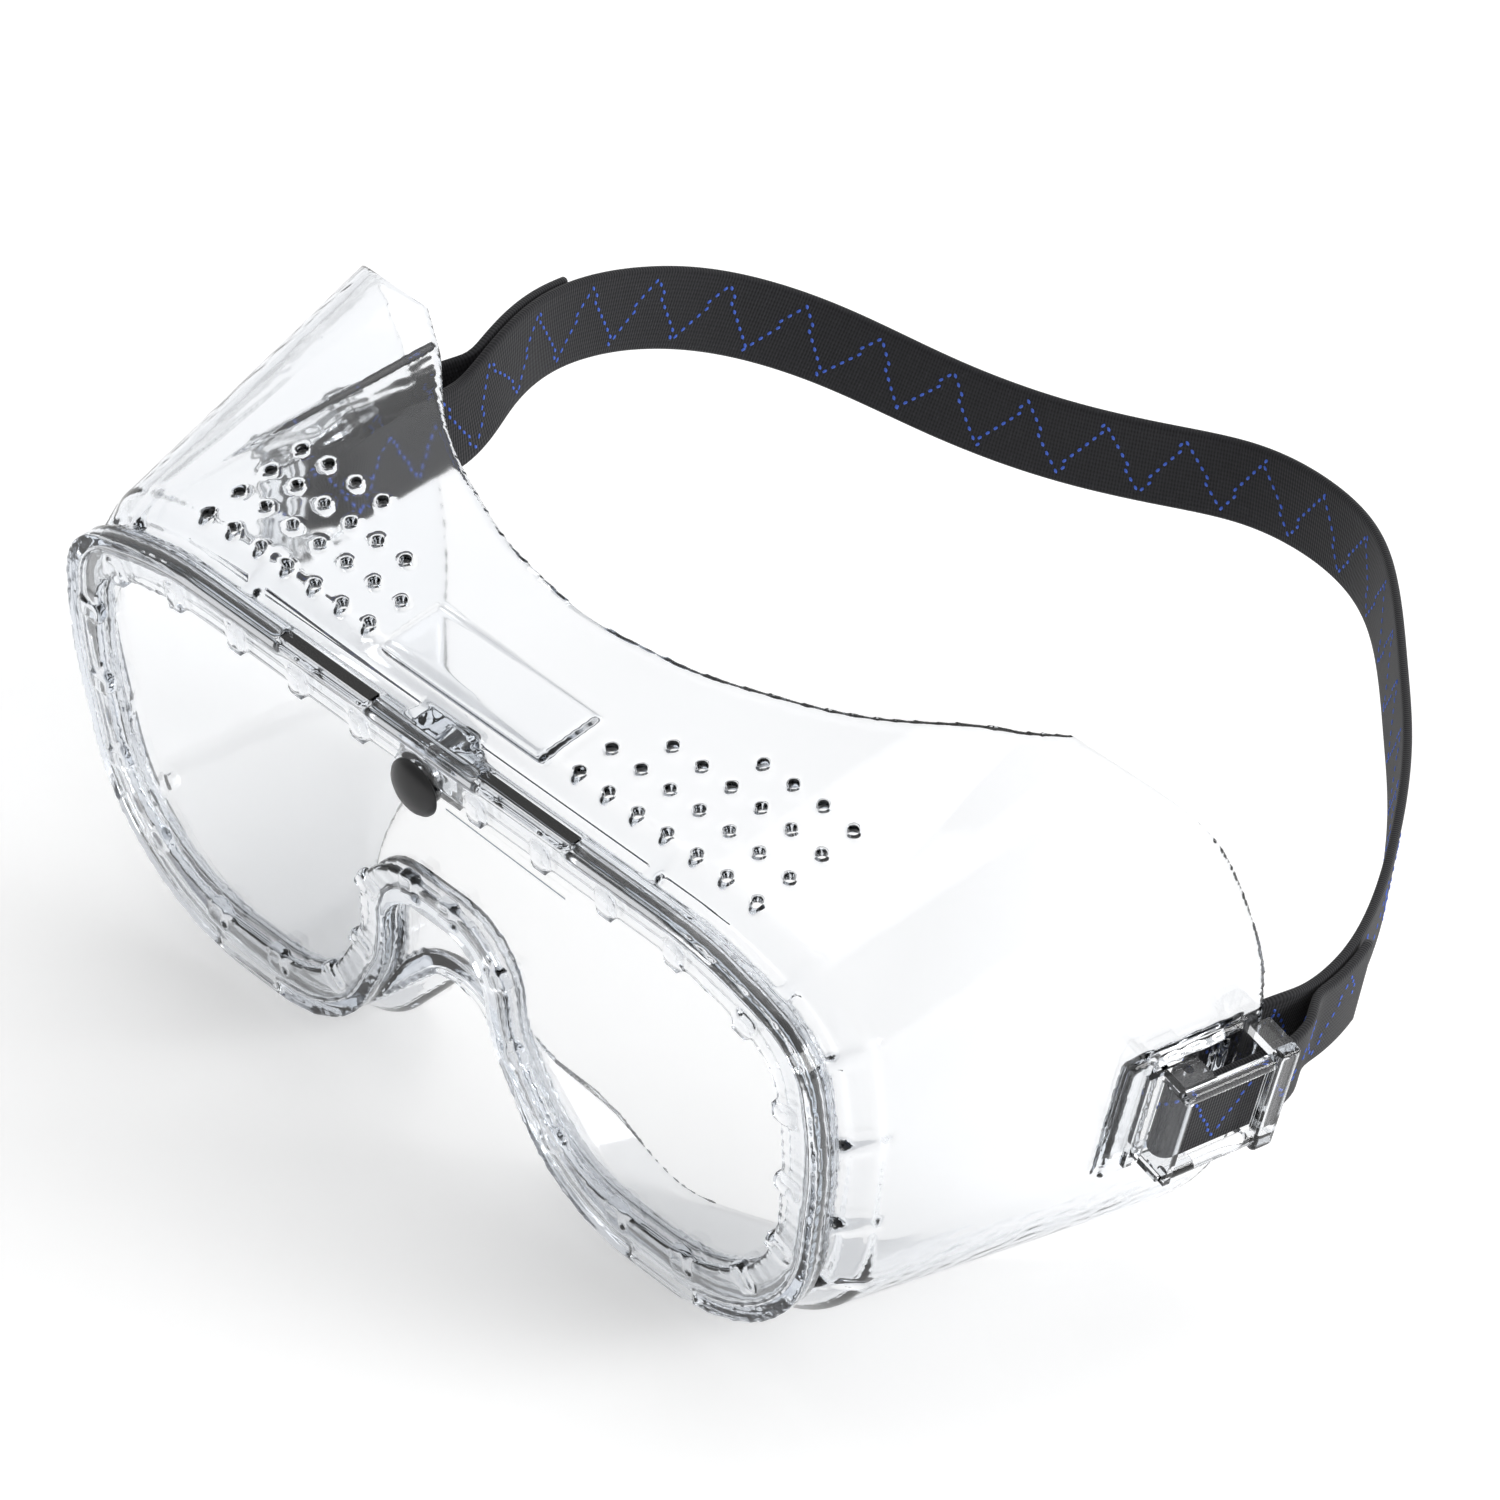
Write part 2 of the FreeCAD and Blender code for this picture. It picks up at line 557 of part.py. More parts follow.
def buckle_moulding(side):
    """One clear buckle: front wall with its foot through the slot, strap pin, two rails, rear keeper."""
    hand = "left" if side > 0 else "right"
    _, back_way, up_way, _ = BUCKLE_AT[side]
    parts = [
        buckle_box(side, "front_wall", wall_back, 0, (proud + inner_face - foot_depth) / 2,
                   "sizes.buckle_plate", wall_width, wall_depth),
        buckle_box(side, "inner_foot", wall_back - 1.9, 0, inner_face - foot_depth / 2, "5", wall_width,
                   f"{foot_depth}"),
        buckle_box(side, "front_lip", wall_back - 1.5, 0, SEAT + 0.5, "4.2", wall_width, "1"),
        rod(f"strap_pin_{hand}", Placement(on_buckle(side, pin_back, -side_up, pin_out),
                                           Rotation(Vector(0, 0, 1), up_way)),
            "sizes.buckle_pin", f"{2 * side_up}")]
    for end in (1, -1):
        tag = "top" if end > 0 else "bottom"
        place = Placement(on_buckle(side, wall_back, end * rail_up, rail_out),
                          Rotation(Vector(0, 0, 1), back_way))
        parts.append(rod(f"{tag}_rail_{hand}", place, "sizes.buckle_rail", f"{rear_back - wall_back}"))
        parts.append(buckle_box(side, f"{tag}_cheek", (wall_back + pin_back) / 2 + 0.6, end * side_up,
                                (rail_out + SEAT) / 2, f"{pin_back - wall_back + 3.4}", "1.1",
                                f"{rail_out - SEAT}"))
        parts.append(buckle_box(side, f"{tag}_rear_leg", rear_back, end * (half_up + 1.3),
                                rail_out / 2 + 0.15, "sizes.buckle_rail + 1.4", "1.8", f"{rail_out}"))
    keeper = buckle_box(side, "keeper", rear_back, 0, rail_out + 0.35, "sizes.buckle_rail + 1.8",
                        "sizes.strap_width + 4.8", "sizes.buckle_rail")
    doc.recompute()
    rounded = doc.addObject("Part::Fillet", f"keeper_round_{hand}")
    rounded.Base = keeper
    rounded.Edges = [(i + 1, 0.9, 0.9) for i in range(12)]
    return fused(f"buckle_moulding_{hand}", parts + [rounded])


left_buckle = buckle_moulding(1)
right_buckle = buckle_moulding(-1)
doc.recompute()

# ---------------------------------------------------------------- elastic headband
tilt = math.radians(S["rest_tilt"])
plumb = Vector(0, math.sin(tilt), math.cos(tilt))
inner_out = inner_face - 0.9 - strap_t / 2


def from_rest(x, y, z):
    """Point given level with the table, in the lens frame."""
    return Vector(x, y * math.cos(tilt) + z * math.sin(tilt), -y * math.sin(tilt) + z * math.cos(tilt))


def to_rest(point):
    """The other way about: a point of the lens frame, given level with the table."""
    return Vector(point.x, point.y * math.cos(tilt) - point.z * math.sin(tilt),
                  point.y * math.sin(tilt) + point.z * math.cos(tilt))


def past_edge(side):
    """How far back from a buckle's front the band is clear of the skirt's edge."""
    return (S["temple_depth"] - BUCKLE_AT[side][0].y) / math.cos(lean) + 2.0


def fold(side):
    """The band's fold through one buckle: out through the skirt's window, round the pin, back outside."""
    low = pin_out - bend
    clear = past_edge(side)
    run = [(clear - 2, inner_out), (18, inner_out), (14.6, inner_out), (12, inner_out + 0.8), (9, low - 0.9),
           (7.4, low - 0.15)]
    for k in range(13):
        angle = math.radians(15 * k)
        run.append((pin_back - bend * math.sin(angle), pin_out - bend * math.cos(angle)))
    run += [(7.5, outer_out), (12, outer_out), (17, outer_out), (21, outer_out),
            (clear, outer_out)]
    return [on_buckle(side, back, 0, out) for back, out in run]


ends = {}
for side in (1, -1):
    clear = past_edge(side)
    ends[side] = [on_buckle(side, clear, 0, inner_out), on_buckle(side, clear + 4, 0, inner_out + 0.2)]
leave = to_rest(ends[1][0])
arrive = to_rest(ends[-1][0])
# the free loop behind the buckles, in plan: share of the way across, behind the buckles, above the line
# between them
LOOP = [(-0.004, 11, -0.3), (0.004, 21, -0.6), (0.04, 36, -1.0), (0.115, 56, -1.4), (0.195, 73, -1.5),
        (0.275, 87, -1.8), (0.36, 101, -2.2), (0.45, 112, -3.2), (0.54, 116, -5.0), (0.61, 115, -6.8),
        (0.68, 108, -8.2), (0.765, 98, -9.0), (0.865, 88, -8.0), (0.965, 77, -4.6), (1.03, 63, -1.0),
        (1.055, 46, 2.2), (1.05, 29, 4.0), (1.02, 13, 3.0)]
loop_points = ends[1][:]
for share, behind, above in LOOP:
    line = leave * (1 - share) + arrive * share
    loop_points.append(from_rest(line.x, leave.y - 3 + behind, line.z + above))
loop_points += ends[-1][::-1]
loop_curve = Part.BSplineCurve()
loop_curve.interpolate(loop_points)
loop_line = loop_curve.discretize(Number=58)


def blend(a, b, share):
    return (a * (1 - share) + b * share).normalize()


def tail(points, widths, start, length):
    """Free end of the band, lying on the outside of the main run it comes back along."""
    found = []
    travelled = 0.0
    for a, b, width in zip(points, points[1:], widths[1:]):
        step = b - a
        travelled += step.Length
        away = step.normalize().cross(width).normalize()
        if away.x * b.x < 0:
            away = away * -1
        share = min(max((travelled - 1.0) / 11.0, 0), 1)
        share = share * share * (3 - 2 * share)
        gap = (outer_out - inner_out) * (1 - share) + (strap_t + 0.35) * share
        if travelled > start:
            found.append((b + away * gap, width))
        if travelled > length:
            break
    return found


loop_widths = []
for i, point in enumerate(loop_line):
    near = min(i, len(loop_line) - 1 - i) / 9
    side_up_way = BUCKLE_AT[1 if i < len(loop_line) / 2 else -1][2]
    loop_widths.append(blend(side_up_way, plumb, min(near, 1)))
left_tail = tail(loop_line, loop_widths, 4.0, 27.0)
right_tail = tail(loop_line[::-1], loop_widths[::-1], 4.0, 36.0)
band = left_tail[::-1]
band += [(point, BUCKLE_AT[1][2]) for point in fold(1)[::-1]]
band += list(zip(loop_line, loop_widths))
band += [(point, BUCKLE_AT[-1][2]) for point in fold(-1)]
band += right_tail
band_sections = []
for i, (point, width) in enumerate(band):
    before = band[max(i - 1, 0)][0]
    after = band[min(i + 1, len(band) - 1)][0]
    along = (after - before).normalize()
    thick = along.cross(width).normalize() * (strap_t / 2)
    wide = thick.cross(along).normalize() * (S["strap_width"] / 2)
    ring = [point + thick + wide, point + thick - wide, point - thick - wide, point - thick + wide]
    band_sections.append(Part.makePolygon(ring + ring[:1]))
headband = lofted("band_loft", band_sections)
doc.recompute()

# ---------------------------------------------------------------- set down on the table
pieces = [frame, lens, body, left_buckle, right_buckle, headband]
labels = ["goggle_frame", "lens", "lens_stud", "left_buckle", "right_buckle", "headband"]
lay = Rotation(Vector(1, 0, 0), S["rest_tilt"])
laid = []
for piece, label in zip(pieces, labels):
    node = shape_object(label, piece.Shape.copy())
    node.Placement = Placement(Vector(), lay).multiply(piece.Placement)
    laid.append(node)
bounds = [node.Shape.optimalBoundingBox(True, False) for node in laid]
low = [min(getattr(b, side) for b in bounds) for side in ("XMin", "YMin", "ZMin")]
high = [max(getattr(b, side) for b in bounds) for side in ("XMax", "YMax", "ZMax")]
shift = Vector(-(low[0] + high[0]) / 2, -(low[1] + high[1]) / 2, -low[2])

for node, label in zip(laid, labels):
    node.Placement = Placement(shift, Rotation()).multiply(node.Placement)
    node.Label = label
doc.recompute()
for obj in doc.Objects:
    if "Invalid" in obj.State or "Error" in obj.State:
        raise RuntimeError(f"{obj.Name}: {obj.getStatusString()}")
for node in laid:
    solids = node.Shape.Solids
    if len(solids) != 1 or not node.Shape.isValid():
        raise RuntimeError(f"{node.Label}: {len(solids)} solids")
    solids[0].exportStep(f"parts/{node.Label}.step")
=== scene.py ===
"""Safety goggles: soft clear frame, hard clear lens, black press stud, two clear buckles, elastic headband."""
import json
import math

import bmesh
import bpy
import numpy as np
from mathutils import Matrix, Vector


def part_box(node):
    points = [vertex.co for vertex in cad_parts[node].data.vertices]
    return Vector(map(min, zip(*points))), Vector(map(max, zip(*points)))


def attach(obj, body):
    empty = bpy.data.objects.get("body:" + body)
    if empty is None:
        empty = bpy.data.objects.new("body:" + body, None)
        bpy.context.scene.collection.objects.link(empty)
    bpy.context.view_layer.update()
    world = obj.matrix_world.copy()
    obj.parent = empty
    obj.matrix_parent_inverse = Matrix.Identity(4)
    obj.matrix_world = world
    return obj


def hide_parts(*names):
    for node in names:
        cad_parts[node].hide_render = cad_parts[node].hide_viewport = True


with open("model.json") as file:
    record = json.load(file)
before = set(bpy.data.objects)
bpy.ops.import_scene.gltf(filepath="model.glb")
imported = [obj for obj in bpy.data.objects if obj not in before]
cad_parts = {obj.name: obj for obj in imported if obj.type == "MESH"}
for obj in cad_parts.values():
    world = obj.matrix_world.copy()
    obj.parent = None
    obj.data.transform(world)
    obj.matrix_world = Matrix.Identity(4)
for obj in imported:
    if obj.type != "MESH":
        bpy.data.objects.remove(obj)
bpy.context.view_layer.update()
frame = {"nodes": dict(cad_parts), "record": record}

# ---------------------------------------------------------------- camera
# A long lens a little over a metre away, above and to the wearer's left of the lens.
camera_data = bpy.data.cameras.new("camera")
camera_data.sensor_width = 36.0
camera_data.lens = 172.24
camera_data.clip_start = 0.05
camera = bpy.data.objects.new("camera", camera_data)
bpy.context.scene.collection.objects.link(camera)
bpy.context.scene.camera = camera
look = Vector((-0.5636, 0.6202, -0.5457)).normalized()
right_hand = look.cross(Vector((-0.4690, 0.3036, 0.8293))).normalized()
head_up = right_hand.cross(look)
camera.matrix_world = Matrix.Translation(Vector((0.59955, -0.68905, 0.62730))) @ Matrix(
    (right_hand, head_up, -look)).transposed().to_4x4()

# ---------------------------------------------------------------- table and light
# A white table, one broad softbox to the right and behind, one overhead, and a bright room.
floor_mesh = bpy.data.meshes.new("floor")
TABLE = 6
floor_mesh.from_pydata([(-TABLE, -TABLE, 0), (TABLE, -TABLE, 0), (TABLE, TABLE, 0), (-TABLE, TABLE, 0)],
                       [], [(0, 1, 2, 3)])
floor = bpy.data.objects.new("floor", floor_mesh)
bpy.context.scene.collection.objects.link(floor)
floor_finish = bpy.data.materials.new("white_table")
floor_finish.use_nodes = True
floor_shader = floor_finish.node_tree.nodes["Principled BSDF"]
floor_shader.inputs["Base Color"].default_value = (0.92, 0.92, 0.92, 1)
floor_shader.inputs["Roughness"].default_value = 1.0
floor_shader.inputs["Specular IOR Level"].default_value = 0.0
floor_shader.inputs["Emission Color"].default_value = (1, 1, 1, 1)
floor_shader.inputs["Emission Strength"].default_value = 0.31
floor_mesh.materials.append(floor_finish)


def softbox(name, toward, distance, size, power):
    """An area lamp that shines at the goggles from a direction."""
    lamp = bpy.data.lights.new(name, "AREA")
    lamp.shape = "RECTANGLE"
    lamp.size, lamp.size_y = size
    lamp.energy = power
    item = bpy.data.objects.new(name, lamp)
    direction = Vector(toward).normalized()
    item.location = direction * distance + Vector((0, 0, 0.05))
    item.rotation_euler = direction.to_track_quat("Z", "Y").to_euler()
    bpy.context.scene.collection.objects.link(item)


softbox("softbox_side", (0.77, 0.52, 0.36), 1.3, (0.75, 0.5), 9.0)
softbox("softbox_top", (-0.2, 0.1, 1.0), 1.5, (1.4, 1.0), 4.0)

room = bpy.data.worlds.new("room")
bpy.context.scene.world = room
room.use_nodes = True
sky = room.node_tree
where = sky.nodes.new("ShaderNodeTexCoord")
split = sky.nodes.new("ShaderNodeSeparateXYZ")
sky.links.new(where.outputs["Generated"], split.inputs["Vector"])
dark_side = sky.nodes.new("ShaderNodeMapRange")
dark_side.inputs["From Min"].default_value = -0.9
dark_side.inputs["From Max"].default_value = 0.25
dark_side.inputs["To Min"].default_value = 0.38
dark_side.inputs["To Max"].default_value = 0.72
sky.links.new(split.outputs["Y"], dark_side.inputs["Value"])
sky.links.new(dark_side.outputs["Result"], sky.nodes["Background"].inputs["Strength"])
sky.nodes["Background"].inputs["Color"].default_value = (1.0, 1.0, 1.0, 1)
bpy.context.scene.view_settings.view_transform = "Standard"
bpy.context.scene.cycles.max_bounces = 24
bpy.context.scene.cycles.transmission_bounces = 24


# ---------------------------------------------------------------- frame moulding
# One soft clear PVC injection moulding: rim with its lens channel, ribs and gussets, the deep skirt that
# meets the face, the vents, and the thick pads round the buckle windows. The mould leaves soft edges.
FRAME_GRAIN = 0.00045


def shared_finish(name, colour, roughness):
    """A node material; returns it with its shader and tree."""
    finish = bpy.data.materials.new(name)
    finish.use_nodes = True
    shader = finish.node_tree.nodes["Principled BSDF"]
    shader.inputs["Base Color"].default_value = (*colour, 1)
    shader.inputs["Roughness"].default_value = roughness
    return finish, shader, finish.node_tree


def add_unevenness(shader, tree, scale, low, high, height):
    """Lets the gloss and the surface wander a little, as a moulded face does."""
    place = tree.nodes.new("ShaderNodeTexCoord")
    clouds = tree.nodes.new("ShaderNodeTexNoise")
    clouds.inputs["Scale"].default_value = scale
    clouds.inputs["Detail"].default_value = 3.0
    tree.links.new(place.outputs["Object"], clouds.inputs["Vector"])
    gloss = tree.nodes.new("ShaderNodeMapRange")
    gloss.inputs["To Min"].default_value = low
    gloss.inputs["To Max"].default_value = high
    tree.links.new(clouds.outputs["Fac"], gloss.inputs["Value"])
    tree.links.new(gloss.outputs["Result"], shader.inputs["Roughness"])
    bump = tree.nodes.new("ShaderNodeBump")
    bump.inputs["Strength"].default_value = 0.35
    bump.inputs["Distance"].default_value = height
    tree.links.new(clouds.outputs["Fac"], bump.inputs["Height"])
    tree.links.new(bump.outputs["Normal"], shader.inputs["Normal"])


def clear_plastic(name, ior, tint, density, low, high, height):
    """Clear moulded plastic that darkens faintly blue along its thick edges."""
    finish, shader, tree = shared_finish(name, (1, 1, 1), low)
    shader.inputs["Transmission Weight"].default_value = 1.0
    shader.inputs["IOR"].default_value = ior
    depth = tree.nodes.new("ShaderNodeVolumeAbsorption")
    depth.inputs["Color"].default_value = (*tint, 1)
    depth.inputs["Density"].default_value = density
    tree.links.new(depth.outputs["Volume"], tree.nodes["Material Output"].inputs["Volume"])
    add_unevenness(shader, tree, 60.0, low, high, height)
    return finish


def node_copy(node, name):
    """A fresh welded object with a CAD node's shape."""
    mesh = frame["nodes"][node].data.copy()
    mesh.name = name
    item = bpy.data.objects.new(name, mesh)
    bpy.context.scene.collection.objects.link(item)
    work = bmesh.new()
    work.from_mesh(mesh)
    bmesh.ops.remove_doubles(work, verts=work.verts, dist=1e-6)
    work.to_mesh(mesh)
    work.free()
    mesh.materials.clear()
    return item


def applied(item):
    """Fixes an object's modifiers into its mesh."""
    graph = bpy.context.evaluated_depsgraph_get()
    fixed = bpy.data.meshes.new_from_object(item.evaluated_get(graph))
    item.modifiers.clear()
    old = item.data
    item.data = fixed
    bpy.data.meshes.remove(old)
    return item


def smooth_faces(item):
    item.data.polygons.foreach_set("use_smooth", [True] * len(item.data.polygons))


soft_clear = clear_plastic("soft_clear_pvc", 1.49, (0.66, 0.72, 0.80), 75.0, 0.02, 0.07, 0.00006)
moulding = node_copy("goggle_frame", "frame_moulding")
even = moulding.modifiers.new("even", "REMESH")
even.mode = "VOXEL"
even.voxel_size = FRAME_GRAIN
soften = moulding.modifiers.new("soften", "SMOOTH")
soften.factor = 0.5
soften.iterations = 5
applied(moulding)
smooth_faces(moulding)
moulding.data.materials.append(soft_clear)
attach(moulding, "goggles")
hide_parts("goggle_frame")

# ---------------------------------------------------------------- lens
# A flat 2 mm sheet of hard clear polycarbonate, die cut with four lugs that show through the rim's slots.
# A fine setting-out line is scribed across the wearer's left of its top.
hard_clear = clear_plastic("hard_clear_polycarbonate", 1.585, (0.80, 0.86, 0.92), 20.0, 0.0, 0.015, 0.00001)
lens = frame["nodes"]["lens"]
lens.data.materials.clear()
lens.data.materials.append(hard_clear)
eased = lens.modifiers.new("eased_edges", "BEVEL")
eased.width = 0.00015
eased.segments = 2
eased.limit_method = "ANGLE"
eased.angle_limit = math.radians(50)

SCRIBE = ((0.0067, -0.01076), (0.0318, -0.01157))
SCRIBE_WIDTH = 0.00028
SCRIBE_DEPTH = 0.00004
rim_tilt = math.radians(12)
forward = Vector((0, -math.cos(rim_tilt), -math.sin(rim_tilt)))
lens_up = Vector((0, -math.sin(rim_tilt), math.cos(rim_tilt)))
lens_low, lens_high = (Vector(corner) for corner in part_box("lens"))
# the top edge of the lens's front face is the foremost line of its box
LENS_THICK = 0.002
lens_top = Vector((0, lens_low.y, lens_high.z - LENS_THICK * math.sin(rim_tilt)))
scribe_mesh = bpy.data.meshes.new("lens_scribe_line")
work = bmesh.new()
corners = []
for x, up in SCRIBE:
    for lift in (0.5, -0.5):
        for proud in (-SCRIBE_DEPTH, SCRIBE_DEPTH):
            corners.append(work.verts.new(Vector((x, lens_top.y, lens_top.z)) + lens_up * (
                up + 0.0001 + lift * SCRIBE_WIDTH) + forward * proud))
for face in ((0, 1, 3, 2), (4, 6, 7, 5), (0, 4, 5, 1), (2, 3, 7, 6), (1, 5, 7, 3), (0, 2, 6, 4)):
    work.faces.new([corners[k] for k in face])
bmesh.ops.recalc_face_normals(work, faces=work.faces)
work.to_mesh(scribe_mesh)
work.free()
scribe = bpy.data.objects.new("lens_scribe_line", scribe_mesh)
bpy.context.scene.collection.objects.link(scribe)
scribed, scribed_shader, scribed_tree = shared_finish("scribed_line", (0.42, 0.45, 0.5), 0.5)
add_unevenness(scribed_shader, scribed_tree, 800.0, 0.4, 0.6, 0.00001)
scribe.data.materials.append(scribed)
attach(scribe, "goggles")

# ---------------------------------------------------------------- press stud
# A black acetal stud pushed through the lens and the rim's collar; its domed head pulls it off the front.
stud_low, stud_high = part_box("lens_stud")
stud_middle = (Vector(stud_low) + Vector(stud_high)) / 2
STUD_LINE = [(0, -6.05), (1.3, -6.0), (2.0, -5.5), (2.0, 3.55), (4.35, 3.6), (4.68, 3.85), (4.62, 4.3),
             (4.1, 4.85), (3.2, 5.35), (2.0, 5.72), (0.9, 5.9), (0, 5.95)]
TURNS = 56


def lathe(name, line, scale, around):
    """Turns a profile (radius, along) in millimetres; around is the placing matrix."""
    work = bmesh.new()
    rings = []
    for radius, along in line:
        if radius == 0:
            rings.append([work.verts.new(around @ Vector((0, 0, along * scale)))])
            continue
        ring = []
        for k in range(TURNS):
            angle = 2 * math.pi * k / TURNS
            ring.append(work.verts.new(around @ Vector((radius * scale * math.cos(angle),
                                                        radius * scale * math.sin(angle), along * scale))))
        rings.append(ring)
    for a, b in zip(rings, rings[1:]):
        for k in range(TURNS):
            corners = [a[k % len(a)], a[(k + 1) % len(a)], b[(k + 1) % len(b)], b[k % len(b)]]
            kept = [v for i, v in enumerate(corners) if v not in corners[:i]]
            work.faces.new(kept)
    bmesh.ops.recalc_face_normals(work, faces=work.faces)
    mesh = bpy.data.meshes.new(name)
    work.to_mesh(mesh)
    work.free()
    item = bpy.data.objects.new(name, mesh)
    bpy.context.scene.collection.objects.link(item)
    smooth_faces(item)
    return item


stud_place = Matrix.Translation(stud_middle) @ forward.to_track_quat("Z", "Y").to_matrix().to_4x4()
stud = lathe("press_stud", STUD_LINE, 0.001, stud_place)
black_plastic, stud_shader, stud_tree = shared_finish("black_acetal", (0.012, 0.012, 0.013), 0.3)
stud_shader.inputs["Specular IOR Level"].default_value = 0.45
add_unevenness(stud_shader, stud_tree, 900.0, 0.24, 0.42, 0.00003)
stud.data.materials.append(black_plastic)
creased = stud.modifiers.new("creased", "EDGE_SPLIT")
creased.split_angle = math.radians(55)
applied(stud)
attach(stud, "stud")
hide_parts("lens_stud")

# ---------------------------------------------------------------- strap buckles
# Two clear rigid mouldings clipped through the windows in the skirt: front wall and foot, round pin, two
# rails and a rear keeper bar. Their edges are lightly rounded.
buckle_clear = clear_plastic("buckle_clear", 1.5, (0.66, 0.70, 0.75), 70.0, 0.02, 0.08, 0.00003)
for hand in ("left", "right"):
    buckle = frame["nodes"][f"{hand}_buckle"]
    buckle.data.materials.clear()
    buckle.data.materials.append(buckle_clear)
    rounded = buckle.modifiers.new("rounded_edges", "BEVEL")
    rounded.width = 0.00022
    rounded.segments = 3
    rounded.limit_method = "ANGLE"
    rounded.angle_limit = math.radians(40)

# ---------------------------------------------------------------- headband
# Flat black woven elastic, 15 mm wide. It comes from inside the skirt, out through each window, round the
# buckle's pin and back outside under the keeper bar. Zigzag rows of blue stitches run along both faces.
BAND_WIDTH = 0.015
BAND_THICK = 0.0015
INNER = -0.00415
OUTER = 0.00385
PIN = (0.0058, 0.0022)
BEND = 0.00165
SLOT_BACK = 0.012
# the way up across the band where each window holds it, leaned with the skirt's side
LEANS = {"left": (0.158, -0.067, 0.985), "right": (-0.137, -0.073, 0.988)}
# the free loop behind the buckles: share of the way across, millimetres behind them and above their line
LOOP = [(-0.004, 11, -0.3), (0.004, 21, -0.6), (0.04, 36, -1.0), (0.115, 56, -1.4), (0.195, 73, -1.5),
        (0.275, 87, -1.8), (0.36, 101, -2.2), (0.45, 112, -3.2), (0.54, 116, -5.0), (0.61, 115, -6.8),
        (0.68, 108, -8.2), (0.765, 98, -9.0), (0.865, 88, -8.0), (0.965, 77, -4.6), (1.03, 63, -1.0),
        (1.055, 46, 2.2), (1.05, 29, 4.0), (1.02, 13, 3.0)]
ways = {}
for hand in ("left", "right"):
    mount = next(m for m in frame["record"]["mounts"] if m["name"] == f"{hand}_strap_slot")
    back = Vector(mount["axis"]).normalized()
    up = Vector(LEANS[hand])
    up = (up - back * up.dot(back)).normalized()
    out = back.cross(up).normalized()
    if hand == "right":
        out = -out
    origin = Vector(mount["pos_m"]) - back * SLOT_BACK - out * OUTER
    ways[hand] = (origin, back, up, out)


def at_buckle(hand, run, height, proud):
    """Point back along the skirt, up across the band and outwards from a buckle's front, in millimetres."""
    start, back_way, up_way, out_way = ways[hand]
    return start + (back_way * run + up_way * height + out_way * proud) * 0.001


def eased_line(points, step):
    """Points at an even step along a natural cubic curve through the given ones."""
    given = np.array([tuple(p) for p in points])
    knots = np.concatenate([[0], np.cumsum(np.linalg.norm(np.diff(given, axis=0), axis=1))])
    gaps = np.diff(knots)
    count = len(given)
    system = np.eye(count)
    slopes = np.zeros((count, 3))
    for i in range(1, count - 1):
        system[i, i - 1:i + 2] = gaps[i - 1], 2 * (gaps[i - 1] + gaps[i]), gaps[i]
        slopes[i] = 6 * ((given[i + 1] - given[i]) / gaps[i] - (given[i] - given[i - 1]) / gaps[i - 1])
    bends = np.linalg.solve(system, slopes)
    places = np.linspace(0, knots[-1], max(int(knots[-1] / step), 2) + 1)
    index = np.clip(np.searchsorted(knots, places, side="right") - 1, 0, count - 2)
    gap = gaps[index][:, None]
    near = (knots[index + 1] - places)[:, None]
    far = (places - knots[index])[:, None]
    curve = (bends[index] * near ** 3 + bends[index + 1] * far ** 3) / (6 * gap)
    curve += (given[index] / gap - bends[index] * gap / 6) * near
    curve += (given[index + 1] / gap - bends[index + 1] * gap / 6) * far
    return curve


# how far back from each buckle's front the band is past the skirt's edge, in millimetres
CLEAR_RUN = {"left": 23.97, "right": 35.41}


def fold_line(hand):
    inner, outer, low = INNER * 1000, OUTER * 1000, (PIN[1] - BEND) * 1000
    run = [(CLEAR_RUN[hand] - 2, inner), (18, inner), (14.6, inner), (12, inner + 0.8), (9, low - 0.9),
           (7.4, low - 0.15)]
    for k in range(13):
        angle = math.radians(15 * k)
        run.append(((PIN[0] - BEND * math.sin(angle)) * 1000, (PIN[1] - BEND * math.cos(angle)) * 1000))
    run += [(7.5, outer), (12, outer), (17, outer), (21, outer), (CLEAR_RUN[hand], outer)]
    return [at_buckle(hand, back, 0, proud) for back, proud in run]


def unit(v):
    return v / np.linalg.norm(v)


leave = at_buckle("left", CLEAR_RUN["left"], 0, INNER * 1000)
arrive = at_buckle("right", CLEAR_RUN["right"], 0, INNER * 1000)
loop_points = [leave, at_buckle("left", CLEAR_RUN["left"] + 4, 0, INNER * 1000 + 0.2)]
for share, behind, above in LOOP:
    line = leave.lerp(arrive, share)
    loop_points.append(Vector((line.x, leave.y + (behind - 3) * 0.001, line.z + above * 0.001)))
loop_points += [at_buckle("right", CLEAR_RUN["right"] + 4, 0, INNER * 1000 + 0.2), arrive]
loop = eased_line(loop_points, 0.001)
plumb = np.array((0.0, 0.0, 1.0))
TURN_RUN = 0.050
loop_ways = []
for i in range(len(loop)):
    hand = "left" if i < len(loop) / 2 else "right"
    run = min(i, len(loop) - 1 - i) * 0.001
    share = min(run / TURN_RUN, 1)
    loop_ways.append(unit(np.array(ways[hand][2]) * (1 - share) + plumb * share))


def tail_line(points, up_ways, length):
    """Free end of the band, lying on the outside of the run that it comes back along."""
    found = []
    for i in range(4, int(length * 1000)):
        along = unit(points[i + 1] - points[i - 1])
        away = unit(np.cross(along, up_ways[i]))
        if away[0] * points[i][0] < 0:
            away = -away
        share = min(max((i - 1) / 11, 0), 1)
        share = share * share * (3 - 2 * share)
        gap = (OUTER - INNER) * (1 - share) + (BAND_THICK + 0.00035) * share
        found.append((points[i] + away * gap, up_ways[i]))
    return found


